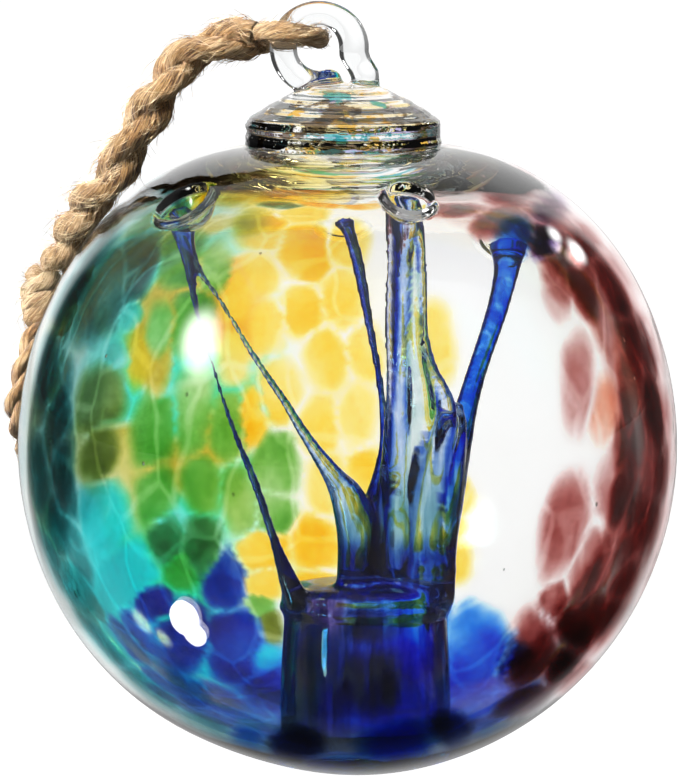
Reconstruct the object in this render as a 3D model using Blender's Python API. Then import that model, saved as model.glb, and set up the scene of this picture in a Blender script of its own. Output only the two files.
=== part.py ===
"""A witch ball: a hand-blown coloured glass ball, closed by a clear glass cap with a loop, on a jute rope.

The origin is in the middle of the small flat spot under the ball, with +Z up. X runs to the right of
the front, and Y to the back. Every length is in metres.
"""

import math

import bmesh
import bpy
from mathutils import Matrix, Vector

# The ball: blown round, sunk a little under the cap and full at the shoulder.
BALL_RADIUS = 0.0758
TOP_SINK = 0.085  # share of the radius lost at the top
TOP_SPREAD = math.radians(20)
SHOULDER_SWELL = 0.015  # share of the radius gained at the shoulder
SHOULDER_AT = math.radians(52)
SHOULDER_SPREAD = math.radians(20)
FLAT_RADIUS = 0.0085  # the flat spot it stands on
CENTRE_Z = math.sqrt(BALL_RADIUS**2 - FLAT_RADIUS**2)
BALL_TOP_RADIUS = 0.0232  # where the ball comes out from under the cap
BALL_RINGS = 30
BALL_SEGMENTS = 64
DENT_TOWARDS = Vector((-0.30, 0.0, -0.954))  # a shallow flattening low on the left
DENT_DEPTH = 0.022  # share of the radius
DENT_SPREAD = math.radians(17)

# The cap: a flat cone of clear glass with an upright rim, laid over the blowing hole.
CAP_X = -0.001
CAP_RADIUS = 0.0226
CAP_FOOT_Z = 0.1446
CAP_PROFILE = (  # radius and height, from the crown over the shoulder and down the rim
    (0.0, 0.1594),
    (0.0051, 0.1591),
    (0.0085, 0.1585),
    (0.01425, 0.15575),
    (0.0200, 0.1524),
    (0.0218, 0.1506),
    (0.0225, 0.1492),
    (0.0221, 0.14746),
    (CAP_RADIUS, 0.1459),
)

# The loop: a rod of clear glass bent to a ring, its tail curled under and its foot a round knuckle.
LOOP_CENTRE = Vector((-0.0066, 0.0, 0.1673))
LOOP_RADIUS = 0.0081
LOOP_TAIL_DEG = 288
LOOP_FOOT_DEG = -8
LOOP_STEPS = 22
TAIL_END = (1.2, 0.7)  # how far round the tail's rounded end its last rings are, in radians
ROD_LEFT, ROD_TOP, ROD_RIGHT, ROD_TAIL = 0.0032, 0.0028, 0.0035, 0.0030
FOOT_PATH = (
    (Vector((0.0026, 0.0, 0.1637)), 0.0031),
    (Vector((0.0041, 0.0, 0.1611)), 0.0031),
    (Vector((0.0043, 0.0, 0.1590)), 0.0030),
    (Vector((0.0036, 0.0, 0.1558)), 0.0030),
)

# The pits: where each inner strand has drawn the wall inwards.
PIT_DIRECTIONS = (
    Vector((-0.488, -0.387, 0.782)),
    Vector((0.183, -0.550, 0.814)),
    Vector((-0.008, 0.732, 0.681)),
    Vector((0.500, 0.621, 0.603)),
)
PIT_RADIUS = 0.0069
PIT_DEPTH = 0.0065
PIT_MOUTH = 0.0080  # the cutter's radius just outside the ball
PIT_RISE = 0.0012  # how far the cutter stands out of the ball
PIT_RINGS = 5
PIT_SEGMENTS = 16

# The rope: jute twine, doubled through the loop, twisted to the knot and open below it.
TWINE = 0.0044
ROPE = 0.0084
LOOP_TWINE = 0.0050
KNOT_CENTRE = Vector((-0.0711, 0.0262, 0.1065))
KNOT_SIZE = Vector((0.0049, 0.0050, 0.0056))
BIGHT_ROUTE = (
    (-0.0203, -0.0024, 0.1709),
    (-0.0190, -0.0033, 0.1712),
    (-0.0158, -0.0057, 0.1715),
    (-0.0126, -0.0062, 0.1713),
    (-0.0092, -0.0050, 0.1705),
    (-0.0070, -0.0027, 0.1698),
    (-0.0063, 0.0000, 0.1696),
    (-0.0070, 0.0027, 0.1696),
    (-0.0092, 0.0050, 0.1696),
    (-0.0126, 0.0062, 0.1691),
    (-0.0158, 0.0060, 0.1686),
    (-0.0190, 0.0038, 0.1681),
    (-0.0203, 0.0027, 0.1679),
)
ROPE_ROUTE = (
    (-0.0216, 0.0000, 0.1693),
    (-0.0271, 0.0000, 0.1691),
    (-0.0325, 0.0000, 0.1672),
    (-0.0383, 0.0000, 0.1635),
    (-0.0430, 0.0002, 0.1565),
    (-0.0476, 0.0005, 0.1494),
    (-0.0517, 0.0010, 0.1416),
    (-0.0556, 0.0025, 0.1353),
    (-0.0600, 0.0070, 0.1304),
    (-0.0638, 0.0160, 0.1232),
    (-0.0664, 0.0225, 0.1172),
    (-0.0675, 0.0245, 0.1148),
)
HANGER_ROUTE = (
    (-0.0724, 0.0216, 0.1000),
    (-0.0740, 0.0172, 0.0965),
    (-0.0765, 0.0157, 0.0862),
    (-0.0773, 0.0147, 0.0820),
    (-0.0767, 0.0180, 0.0775),
    (-0.0752, 0.0238, 0.0715),
    (-0.0737, 0.0310, 0.0640),
    (-0.0708, 0.0395, 0.0520),
    (-0.0660, 0.0475, 0.0380),
    (-0.0590, 0.0545, 0.0240),
    (-0.0500, 0.0590, 0.0120),
    (-0.0395, 0.0605, 0.0052),
    (-0.0280, 0.0595, 0.0029),
    (-0.0150, 0.0570, 0.0029),
    (-0.0030, 0.0555, 0.0029),
    (0.0075, 0.0590, 0.0029),
    (0.0120, 0.0680, 0.0029),
    (0.0070, 0.0765, 0.0029),
    (-0.0040, 0.0800, 0.0029),
    (-0.0170, 0.0810, 0.0029),
    (-0.0300, 0.0808, 0.0036),
    (-0.0420, 0.0780, 0.0085),
    (-0.0525, 0.0720, 0.0180),
    (-0.0610, 0.0640, 0.0300),
    (-0.0677, 0.0560, 0.0435),
    (-0.0720, 0.0480, 0.0575),
    (-0.0740, 0.0405, 0.0720),
    (-0.0738, 0.0350, 0.0860),
    (-0.0716, 0.0330, 0.0950),
    (-0.0690, 0.0320, 0.0996),
)

TURN = 2 * math.pi


def material(name, colour, roughness, transmission=0.0):
    made = bpy.data.materials.new(name)
    made.use_nodes = True
    shader = made.node_tree.nodes["Principled BSDF"]
    shader.inputs["Base Color"].default_value = (*colour, 1)
    shader.inputs["Roughness"].default_value = roughness
    shader.inputs["Metallic"].default_value = 0
    shader.inputs["Transmission Weight"].default_value = transmission
    return made


def put(name, mesh, look):
    mesh.materials.append(look)
    made = bpy.data.objects.new(name, mesh)
    bpy.context.scene.collection.objects.link(made)
    return made


def smooth(mesh, angle_deg=35):
    mesh.shade_smooth()
    mesh.set_sharp_from_angle(angle=math.radians(angle_deg))


def ball_radius(polar):
    """The ball's radius at an angle from straight up."""
    sink = TOP_SINK * math.exp(-((polar / TOP_SPREAD) ** 2))
    swell = SHOULDER_SWELL * math.exp(-(((polar - SHOULDER_AT) / SHOULDER_SPREAD) ** 2))
    return BALL_RADIUS * (1 - sink + swell)


def dented(direction):
    """The share of the radius that is left in a direction, with the flattening low on the left."""
    angle = direction.angle(DENT_TOWARDS)
    return 1 - DENT_DEPTH * math.exp(-((angle / DENT_SPREAD) ** 2))


def spun(profile, segments):
    """A closed solid turned about Z from a profile of (radius, height) points, from top to bottom."""
    bm = bmesh.new()
    points = [bm.verts.new((radius, 0, height)) for radius, height in profile]
    edges = [bm.edges.new(pair) for pair in zip(points, points[1:])]
    bmesh.ops.spin(
        bm,
        geom=points + edges,
        cent=(0, 0, 0),
        axis=(0, 0, 1),
        angle=TURN,
        steps=segments,
        use_merge=True,
        use_duplicate=False,
    )
    bmesh.ops.remove_doubles(bm, verts=bm.verts, dist=1e-6)
    open_edges = [edge for edge in bm.edges if edge.is_boundary]
    if open_edges:
        bmesh.ops.holes_fill(bm, edges=open_edges, sides=0)
    bmesh.ops.recalc_face_normals(bm, faces=bm.faces)
    return bm


def ball_and_cap_profile():
    """From the crown of the cap, over its rim, and down the ball to the edge of the flat spot."""
    first = math.asin(BALL_TOP_RADIUS / BALL_RADIUS)
    last = math.pi - math.asin(FLAT_RADIUS / BALL_RADIUS)
    ball = []
    for i in range(BALL_RINGS):
        polar = first + (last - first) * i / BALL_RINGS
        radius = ball_radius(polar)
        ball.append((radius * math.sin(polar), CENTRE_Z + radius * math.cos(polar)))
    return [*CAP_PROFILE, *ball, (FLAT_RADIUS, 0)]


def shape_by_hand(bm):
    """Moves the cap off the ball's axis, and flattens the ball low on the left."""
    for vert in bm.verts:
        if vert.co.z > CAP_FOOT_Z:
            vert.co.x += CAP_X
        elif vert.co.z > 1e-5:
            arm = vert.co - Vector((0, 0, CENTRE_Z))
            vert.co = Vector((0, 0, CENTRE_Z)) + arm * dented(arm.normalized())


def pit_cutter(direction):
    """A funnel with a wide mouth just outside the ball, along one direction from its centre."""
    surface = ball_radius(direction.angle(Vector((0, 0, 1))))
    profile = [(0, surface + PIT_RISE), (PIT_MOUTH, surface + PIT_RISE)]
    for i in range(PIT_RINGS):
        share = (i + 0.6) / PIT_RINGS  # of the depth
        profile.append((PIT_RADIUS * (1 - share) ** 0.8, surface - PIT_DEPTH * share))
    profile.append((0, surface - PIT_DEPTH))
    bm = spun(profile, PIT_SEGMENTS)
    turn = Vector((0, 0, 1)).rotation_difference(direction).to_matrix().to_4x4()
    move = Matrix.Translation((0, 0, CENTRE_Z)) @ turn
    bmesh.ops.transform(bm, matrix=move, verts=bm.verts)
    return bm


def rod_radius(angle):
    """The glass rod's radius round the ring: thin on top, thick where it comes off the cap."""
    side = math.cos(angle)
    across = ROD_RIGHT if side > 0 else ROD_LEFT
    upright = ROD_TOP if math.sin(angle) > 0 else ROD_TAIL
    return across * side**2 + upright * (1 - side**2)


def loop_path():
    """The rod's middle line and radius, from the rounded tail round the ring to the foot in the cap."""
    path = []
    start, end = math.radians(LOOP_TAIL_DEG), math.radians(LOOP_FOOT_DEG)
    for i in range(LOOP_STEPS + 1):
        angle = start + (end - start) * i / LOOP_STEPS
        reach = Vector((math.cos(angle), 0, math.sin(angle)))
        path.append((LOOP_CENTRE + LOOP_RADIUS * reach, rod_radius(angle)))
    tail, along = path[0][0], (path[0][0] - path[1][0]).normalized()
    ends = [(tail + along * ROD_TAIL * math.sin(a), ROD_TAIL * math.cos(a)) for a in TAIL_END]
    return ends + path + list(FOOT_PATH)


def tube(points, radii, resolution):
    """A curve mesh through the points with a round section, closed at both ends."""
    curve = bpy.data.curves.new("tube", "CURVE")
    curve.dimensions = "3D"
    curve.bevel_depth = 1
    curve.bevel_resolution = resolution
    curve.use_fill_caps = True
    spline = curve.splines.new("POLY")
    spline.points.add(len(points) - 1)
    for point, place, radius in zip(spline.points, points, radii):
        point.co = (*place, 1)
        point.radius = radius
    return curve


def mesh_of(curve):
    """The curve's surface as a closed mesh."""
    holder = bpy.data.objects.new("holder", curve)
    mesh = bpy.data.meshes.new_from_object(holder)
    bpy.data.objects.remove(holder)
    bm = bmesh.new()
    bm.from_mesh(mesh)
    bmesh.ops.remove_doubles(bm, verts=bm.verts, dist=1e-6)
    bmesh.ops.recalc_face_normals(bm, faces=bm.faces)
    bm.to_mesh(mesh)
    bm.free()
    return mesh


def helper(name, mesh):
    """An object that only cuts or joins: it isn't part of the model."""
    made = bpy.data.objects.new(name, mesh)
    bpy.context.scene.collection.objects.link(made)
    made.hide_render = True
    made.display_type = "WIRE"
    return made


def combine(target, other, operation):
    step = target.modifiers.new(f"{operation} {other.name}", "BOOLEAN")
    step.object = other
    step.operation = operation
    step.solver = "EXACT"


def mesh_from(bm, name):
    mesh = bpy.data.meshes.new(name)
    bm.to_mesh(mesh)
    bm.free()
    return mesh


def catmull_rom(route, spacing):
    """Points a spacing apart on a smooth curve through the route's points."""
    knots = [Vector(p) for p in route]
    padded = [2 * knots[0] - knots[1], *knots, 2 * knots[-1] - knots[-2]]
    fine = []
    for a, b, c, d in zip(padded, padded[1:], padded[2:], padded[3:]):
        for i in range(16):
            t = i / 16
            fine.append(
                0.5 * (2 * b + (c - a) * t + (2 * a - 5 * b + 4 * c - d) * t**2)
                + 0.5 * (3 * b - a - 3 * c + d) * t**3
            )
    fine.append(knots[-1])
    lengths = [0.0]
    for a, b in zip(fine, fine[1:]):
        lengths.append(lengths[-1] + (b - a).length)
    count = max(2, round(lengths[-1] / spacing))
    points, k = [], 0
    for i in range(count + 1):
        want = lengths[-1] * i / count
        while k < len(fine) - 2 and lengths[k + 1] < want:
            k += 1
        share = (want - lengths[k]) / max(lengths[k + 1] - lengths[k], 1e-9)
        points.append(fine[k].lerp(fine[k + 1], min(1, share)))
    return points


def cord(name, route, diameter, spacing, look):
    """A plain tube of a cord's own diameter along its route."""
    points = catmull_rom(route, spacing)
    curve = tube(points, [1] * len(points), 3)
    curve.bevel_depth = diameter / 2
    curve.materials.append(look)
    made = bpy.data.objects.new(name, curve)
    bpy.context.scene.collection.objects.link(made)
    return made


def glass(look):
    bm = spun(ball_and_cap_profile(), BALL_SEGMENTS)
    shape_by_hand(bm)
    mesh = mesh_from(bm, "glass_ball")
    smooth(mesh)
    ball = put("glass_ball", mesh, look)
    path = loop_path()
    rod = mesh_of(tube([p for p, _ in path], [r for _, r in path], 4))
    combine(ball, helper("loop rod", rod), "UNION")
    for i, direction in enumerate(PIT_DIRECTIONS):
        cutter = mesh_from(pit_cutter(direction.normalized()), "pit")
        combine(ball, helper(f"pit cutter {i + 1}", cutter), "DIFFERENCE")
    return ball


def knot(look):
    """The knot below the twisted stretch, with the gathered lumps that the two turns of twine make."""
    bm = bmesh.new()
    bmesh.ops.create_uvsphere(bm, u_segments=16, v_segments=10, radius=1)
    for vert in bm.verts:
        turn = math.atan2(vert.co.y, vert.co.x)
        lump = 1 + 0.05 * math.cos(2 * turn + 3 * vert.co.z)
        vert.co = Vector(vert.co[k] * KNOT_SIZE[k] * lump + KNOT_CENTRE[k] for k in range(3))
    mesh = mesh_from(bm, "jute_knot")
    smooth(mesh)
    return put("jute_knot", mesh, look)


def main():
    for old in list(bpy.data.objects):
        bpy.data.objects.remove(old)
    coloured_glass = material("coloured glass", (0.25, 0.62, 0.66), 0.02, 0.6)
    jute = material("jute", (0.62, 0.43, 0.22), 0.9)
    glass(coloured_glass)
    cord("jute_bight", BIGHT_ROUTE, TWINE, 0.004, jute)
    cord("jute_rope", ROPE_ROUTE, ROPE, 0.012, jute)
    knot(jute)
    cord("jute_hanger", HANGER_ROUTE, LOOP_TWINE, 0.011, jute)


main()
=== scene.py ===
# %% [markdown]
# # A witch ball of blown glass on a jute rope
# A witch ball is a hollow ball blown from clear glass that was rolled in coloured chips. While it
# is hot, threads of glass are pulled from a stump at its bottom up to its wall. A cap with a loop
# closes it, and a jute rope hangs it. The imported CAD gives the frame: it has the ball as one
# plain solid, and the rope as plain tubes. This lesson puts the real glass and the real rope
# in their places.

import math
import random

import bmesh
import bpy
import numpy as np
from mathutils import Matrix, Vector, noise


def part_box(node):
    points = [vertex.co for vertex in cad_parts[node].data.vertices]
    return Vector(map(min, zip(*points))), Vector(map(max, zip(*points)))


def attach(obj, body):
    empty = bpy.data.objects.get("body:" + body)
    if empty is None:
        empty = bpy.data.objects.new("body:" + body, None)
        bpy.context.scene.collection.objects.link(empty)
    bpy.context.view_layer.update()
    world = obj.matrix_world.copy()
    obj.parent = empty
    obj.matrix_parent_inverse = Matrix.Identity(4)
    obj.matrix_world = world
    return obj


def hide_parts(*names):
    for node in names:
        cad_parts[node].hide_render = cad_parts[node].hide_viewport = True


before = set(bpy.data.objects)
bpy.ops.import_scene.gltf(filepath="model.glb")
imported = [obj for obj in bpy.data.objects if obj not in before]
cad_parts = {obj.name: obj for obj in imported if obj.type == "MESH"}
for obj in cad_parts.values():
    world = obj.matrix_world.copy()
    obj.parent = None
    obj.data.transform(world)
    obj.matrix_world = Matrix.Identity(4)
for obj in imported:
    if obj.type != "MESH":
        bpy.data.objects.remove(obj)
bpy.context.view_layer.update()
MM = 0.001
print("packed nodes:", ", ".join(sorted(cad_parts)))

# %% [markdown]
# ## The ball's place
# The ball stands on a small flat spot, which puts its centre a little less than a radius above
# the floor. Most places inside the ball are easiest to think of as they are seen from the front,
# so a helper turns millimetres across, up and near into a point in the frame.

# %% Where the ball is
_, glass_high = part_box("glass_ball")
BALL_RADIUS = 0.0758
SKIN = 73.2  # how far out the cavity's wall is, in millimetres
FLAT_RADIUS = 0.0085
CENTRE = Vector((0, 0, math.sqrt(BALL_RADIUS**2 - FLAT_RADIUS**2)))
CAMERA_RISE = math.radians(7)
AWAY = Vector((0, math.cos(CAMERA_RISE), -math.sin(CAMERA_RISE)))
UP = Vector((0, math.sin(CAMERA_RISE), math.cos(CAMERA_RISE)))
print("ball centre", tuple(round(v, 4) for v in CENTRE), "glass top", round(glass_high[2], 4))


def seen(across, up, near=0.0):
    """A place in the ball as it is seen from the front, in millimetres from the ball's centre."""
    return CENTRE + MM * (across * Vector((1, 0, 0)) + up * UP - near * AWAY)


def seen_on_wall(across, up, side, radius_mm):
    """The same for a place on the ball's near wall, side 1, or its far wall, side -1."""
    return seen(across, up, side * math.sqrt(max(0, radius_mm**2 - across**2 - up**2)))


def into_scene(name, data):
    made = bpy.data.objects.new(name, data)
    bpy.context.scene.collection.objects.link(made)
    return made


# %% [markdown]
# ## The camera
# The camera looks slightly down at the ball from in front, through a long lens, so that the
# ball's outline stays round. It comes first, because the cords are measured in its view.

# %% The camera
CAMERA_FAR = 1.5
PICTURE_TALL = 0.1789
AIM_ACROSS, AIM_UP = -1.84, 13.47
camera_data = bpy.data.cameras.new("camera")
camera_data.sensor_width = 36
camera_data.lens = camera_data.sensor_width * CAMERA_FAR / PICTURE_TALL
camera_data.clip_start = 0.05
camera_data.clip_end = 60
camera = into_scene("camera", camera_data)
camera.location = seen(AIM_ACROSS, AIM_UP) - CAMERA_FAR * AWAY
camera.rotation_euler = (-AWAY).to_track_quat("Z", "Y").to_euler()
bpy.context.scene.camera = camera
print("camera lens", round(camera_data.lens, 1), "mm")

# %% [markdown]
# ## Helpers for node materials
# A material is a small graph of nodes, and a socket knows which graph it is in. So a few helpers
# keep it readable: some make or link a node, some do a sum on sockets or numbers, and one makes
# a soft step from one value to another.


# %% Node helpers
def put(made, **values):
    """Sets a node's own properties or its inputs by their names, and gives the node back."""
    for key, value in values.items():
        if hasattr(made, key):
            setattr(made, key, value)
        else:
            made.inputs[key.replace("_", " ")].default_value = value
    return made


def node(tree, kind, **values):
    return put(tree.nodes.new("ShaderNode" + kind), **values)


def link(output, socket):
    output.id_data.links.new(output, socket)


def maths(operation, *inputs):
    """A Math node on sockets or numbers, and its result."""
    tree = next(value.id_data for value in inputs if isinstance(value, bpy.types.NodeSocket))
    made = node(tree, "Math", operation=operation)
    for place, value in enumerate(inputs):
        if isinstance(value, (int, float)):
            made.inputs[place].default_value = value
        else:
            link(value, made.inputs[place])
    return made.outputs[0]


def times(first, *others):
    """The product of sockets or numbers."""
    for factor in others:
        first = maths("MULTIPLY", first, factor)
    return first


def length_of(x, y):
    return maths("SQRT", maths("ADD", times(x, x), times(y, y)))


def ramp(value, low, high, to_low=0.0, to_high=1.0):
    """A soft step of value from low to high."""
    made = node(value.id_data, "MapRange", interpolation_type="SMOOTHSTEP")
    link(value, made.inputs[0])
    for place, number in enumerate((low, high, to_low, to_high), start=1):
        made.inputs[place].default_value = number
    return made.outputs[0]


def scaled(vector, x, y, z):
    """The vector with each of its parts scaled."""
    made = node(vector.id_data, "VectorMath", operation="MULTIPLY")
    link(vector, made.inputs[0])
    made.inputs[1].default_value = (x, y, z)
    return made.outputs[0]


def speckle(vector, drawn=1, **values):
    """Noise at a place, drawn out along Z where drawn is less than 1."""
    made = node(vector.id_data, "TexNoise", **values)
    link(vector if drawn == 1 else scaled(vector, 1, 1, drawn), made.inputs["Vector"])
    return made.outputs["Fac"]


def mixed(factor, first, second):
    """A colour between two colours, each a socket or plain numbers."""
    made = node(factor.id_data, "Mix", data_type="RGBA")
    link(factor, made.inputs["Factor"])
    for socket, value in ((made.inputs[6], first), (made.inputs[7], second)):
        if isinstance(value, tuple):
            socket.default_value = (*value, 1)
        else:
            link(value, socket)
    return made.outputs[2]


def own_place(tree):
    """The place on the object itself."""
    return node(tree, "TexCoord").outputs["Object"]


def painted_on(tree, attribute, kind="Color"):
    return node(tree, "Attribute", attribute_name=attribute).outputs[kind]


def parts_of(vector):
    made = node(vector.id_data, "SeparateXYZ")
    link(vector, made.inputs[0])
    return made.outputs


def coloured(name):
    """A new node material, its tree and its shader."""
    look = bpy.data.materials.new(name)
    look.use_nodes = True
    return look, look.node_tree, look.node_tree.nodes["Principled BSDF"]


# %% [markdown]
# ## Helpers for meshes
# Rods, strands and threads are all the same thing: a circle carried along a path, each circle
# bridged to the next. The path's points carry their own radius as a fourth number. The circles
# are turned as little as possible from one to the next, so the rod isn't wrung.


# %% Mesh helpers
def smooth_route(points, step):
    """Points about a step apart on a smooth curve through the given ones."""
    knots = [Vector(p) for p in points]
    padded = [2 * knots[0] - knots[1], *knots, 2 * knots[-1] - knots[-2]]
    fine = []
    for a, b, c, d in zip(padded, padded[1:], padded[2:], padded[3:]):
        count = max(2, round((c - b).length / step))
        for i in range(count):
            t = i / count
            fine.append(
                0.5 * (2 * b + (c - a) * t + (2 * a - 5 * b + 4 * c - d) * t**2)
                + 0.5 * (3 * b - a - 3 * c + d) * t**3
            )
    return fine + [knots[-1]]


def route_length(points):
    return sum((Vector(b) - Vector(a)).length for a, b in zip(points, points[1:]))


def frames_along(points, first_side=None):
    """For each point: where it is, a sideways direction, the other one, and the way along."""
    side, found = first_side, []
    for i, point in enumerate(points):
        before, after = points[max(i - 1, 0)].xyz, points[min(i + 1, len(points) - 1)].xyz
        along = (after - before).normalized()
        side = along.orthogonal() if side is None else side
        side = (side - along * side.dot(along)).normalized()
        found.append((point.xyz, side, along.cross(side), along))
    return found


def rod(points, segments=14, twist=0.0, lumps=0.0, bm=None):
    """A round closed rod through points of (x, y, z, radius), with its unwound place in "lay"."""
    bm = bmesh.new() if bm is None else bm
    lay = bm.verts.layers.float_vector.get("lay") or bm.verts.layers.float_vector.new("lay")
    gone, last, before = 0.0, None, None
    for point, (place, side, other, along) in zip(points, frames_along(points)):
        gone += (place - before).length / MM if before else random.uniform(0, 90)
        before = place
        turned = Matrix((side, other, along)).transposed().to_4x4()
        at_end = last is None or point is points[-1]
        put_at = Matrix.Translation(place) @ turned
        made = bmesh.ops.create_circle(
            bm, cap_ends=at_end, radius=point.w, segments=segments, matrix=put_at
        )["verts"]
        ring = {edge for vert in made for edge in vert.link_edges}
        for vert in made:
            arm = vert.co - place
            turn = math.atan2(arm.dot(other), arm.dot(side)) + twist * gone
            round_it = point.w / MM
            here = Vector((round_it * math.cos(turn), round_it * math.sin(turn), gone))
            vert[lay] = here
            if lumps:
                coarse = noise.noise(Vector((here.x * 0.55, here.y * 0.55, here.z * 0.16)))
                fine = noise.noise(Vector((here.x * 1.7, here.y * 1.7, here.z * 0.35)))
                vert.co += arm * lumps * (coarse + 0.6 * fine)
        if last:
            bmesh.ops.bridge_loops(bm, edges=list(last | ring))
        last = ring
    return bm


def spun(profile, steps):
    """A closed solid turned about Z from (radius, height) points."""
    bm = bmesh.new()
    points = [bm.verts.new((radius, 0, height)) for radius, height in profile]
    edges = [bm.edges.new(pair) for pair in zip(points, points[1:])]
    bmesh.ops.spin(
        bm, geom=points + edges, cent=(0, 0, 0), axis=(0, 0, 1), angle=2 * math.pi, steps=steps,
        use_merge=True, use_duplicate=False,
    )
    bmesh.ops.remove_doubles(bm, verts=bm.verts, dist=1e-6)
    open_edges = [edge for edge in bm.edges if edge.is_boundary]
    if open_edges:
        bmesh.ops.holes_fill(bm, edges=open_edges, sides=0)
    bmesh.ops.recalc_face_normals(bm, faces=bm.faces)
    return bm


def absorb(bm, other):
    """Adds another bmesh's faces to this one."""
    mesh = bpy.data.meshes.new("part")
    other.to_mesh(mesh)
    other.free()
    bm.from_mesh(mesh)
    bpy.data.meshes.remove(mesh)


def to_object(name, bm, looks=(), smooth=False):
    """The bmesh as an object at the origin, with its looks."""
    mesh = bpy.data.meshes.new(name)
    bm.to_mesh(mesh)
    bm.free()
    for look in looks:
        mesh.materials.append(look)
    if smooth:
        mesh.shade_smooth()
    return into_scene(name, mesh)


def apply_all(target):
    """Replaces the object's mesh by what its modifiers make of it."""
    graph = bpy.context.evaluated_depsgraph_get()
    made = bpy.data.meshes.new_from_object(target.evaluated_get(graph), depsgraph=graph)
    target.modifiers.clear()
    old = target.data
    target.data = made
    bpy.data.meshes.remove(old)
    made.name = target.name


def combine(target, other, operation):
    """Joins the other object to the target or cuts it out, and removes the other one."""
    step = target.modifiers.new(operation, "BOOLEAN")
    step.object = other
    step.operation = operation
    step.solver = "MANIFOLD"
    apply_all(target)
    bpy.data.objects.remove(other)


def melt(target, voxel_mm, factor, times):
    """Melts overlapping shapes into one skin and relaxes it, as hot glass does."""
    step = target.modifiers.new("melt together", "REMESH")
    step.mode, step.voxel_size, step.use_smooth_shade = "VOXEL", voxel_mm * MM, True
    relax = target.modifiers.new("relax", "SMOOTH")
    relax.factor, relax.iterations = factor, times
    apply_all(target)


# %% [markdown]
# ## Jute
# Jute is a coarse bast fibre. A twine is thousands of short straw-coloured fibres wrung together,
# so up close it is streaks. The colour is partly the fibres' own tone, in patches, and partly painted
# light and shade: the same streaks raise the bump, so the colour is painted paler where the fibres
# stand up to the light and painted darker in the furrows between them. The streaks follow the
# fibres, so the colour and the bump read "lay", the place on the strand before it was wound, and
# not the place in the room.


# %% The jute's look
JUTE_RELIEF = 1.1 * MM


def jute(name, dark, mid, pale):
    look, tree, shader = coloured(name)
    lay = painted_on(tree, "lay", "Vector")
    streaks = speckle(lay, 0.16, Scale=1.9, Detail=5.0, Roughness=0.62)
    hairs = speckle(lay, 0.10, Scale=6.5, Detail=3.0, Roughness=0.6)
    patches = speckle(lay, Scale=0.16, Detail=2.0)
    # paler tops and darker furrows are painted light and shade, over the fibres' own tone in patches
    light = maths("ADD", maths("MULTIPLY_ADD", hairs, 0.55, -0.275), streaks)
    light = maths("ADD", light, maths("MULTIPLY_ADD", patches, 0.5, -0.25))
    lower = mixed(ramp(light, 0.34, 0.52), dark, mid)
    link(mixed(ramp(light, 0.48, 0.74), lower, pale), shader.inputs["Base Color"])
    bump = node(tree, "Bump", Strength=1.0, Distance=JUTE_RELIEF)
    link(maths("MULTIPLY_ADD", hairs, 0.5, streaks), bump.inputs["Height"])
    link(bump.outputs["Normal"], shader.inputs["Normal"])
    put(shader, Roughness=0.85, Specular_IOR_Level=0.25, Sheen_Weight=0.35, Sheen_Roughness=0.5)
    return look


rope_jute = jute("straw jute", (0.11, 0.045, 0.012), (0.50, 0.28, 0.105), (0.90, 0.66, 0.38))
hanger_jute = jute("brown jute", (0.15, 0.07, 0.025), (0.48, 0.27, 0.11), (0.78, 0.56, 0.31))
knot_jute = jute("pale frayed jute", (0.36, 0.21, 0.10), (0.74, 0.52, 0.28), (0.93, 0.78, 0.54))

# %% [markdown]
# ## The rope's routes
# One length of twine is doubled through the glass loop. Below the loop its two legs are twisted
# round each other to the knot, and below the knot a thinner loop hangs behind the ball, where it
# is put away: it leaves the knot, goes down behind the ball, turns on the floor and comes back.
# The routes are those of the CAD's plain tubes.

# %% The rope's routes
BIGHT_ROUTE = [
    (-0.0203, -0.0024, 0.1709), (-0.0190, -0.0033, 0.1712), (-0.0158, -0.0057, 0.1715),
    (-0.0126, -0.0062, 0.1713), (-0.0092, -0.0050, 0.1705), (-0.0070, -0.0027, 0.1698),
    (-0.0063, 0.0000, 0.1696), (-0.0070, 0.0027, 0.1696), (-0.0092, 0.0050, 0.1696),
    (-0.0126, 0.0062, 0.1691), (-0.0158, 0.0060, 0.1686), (-0.0190, 0.0038, 0.1681),
    (-0.0203, 0.0027, 0.1679),
]
ROPE_ROUTE = [
    (-0.0216, 0.0000, 0.1693), (-0.0271, 0.0000, 0.1691), (-0.0325, 0.0000, 0.1672),
    (-0.0383, 0.0000, 0.1635), (-0.0430, 0.0002, 0.1565), (-0.0476, 0.0005, 0.1494),
    (-0.0517, 0.0010, 0.1416), (-0.0556, 0.0025, 0.1353), (-0.0600, 0.0070, 0.1304),
    (-0.0638, 0.0160, 0.1232), (-0.0664, 0.0225, 0.1172), (-0.0675, 0.0245, 0.1148),
]
HANGER_ROUTE = [
    (-0.0724, 0.0216, 0.1000), (-0.0740, 0.0172, 0.0965), (-0.0765, 0.0157, 0.0862),
    (-0.0773, 0.0147, 0.0820), (-0.0767, 0.0180, 0.0775), (-0.0752, 0.0238, 0.0715),
    (-0.0737, 0.0310, 0.0640), (-0.0708, 0.0395, 0.0520), (-0.0660, 0.0475, 0.0380),
    (-0.0590, 0.0545, 0.0240), (-0.0500, 0.0590, 0.0120), (-0.0395, 0.0605, 0.0052),
    (-0.0280, 0.0595, 0.0029), (-0.0150, 0.0570, 0.0029), (-0.0030, 0.0555, 0.0029),
    (0.0075, 0.0590, 0.0029), (0.0120, 0.0680, 0.0029), (0.0070, 0.0765, 0.0029),
    (-0.0040, 0.0800, 0.0029), (-0.0170, 0.0810, 0.0029), (-0.0300, 0.0808, 0.0036),
    (-0.0420, 0.0780, 0.0085), (-0.0525, 0.0720, 0.0180), (-0.0610, 0.0640, 0.0300),
    (-0.0677, 0.0560, 0.0435), (-0.0720, 0.0480, 0.0575), (-0.0740, 0.0405, 0.0720),
    (-0.0738, 0.0350, 0.0860), (-0.0716, 0.0330, 0.0950), (-0.0690, 0.0320, 0.0996),
]
KNOT_CENTRE = Vector((-0.0711, 0.0262, 0.1065))
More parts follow.
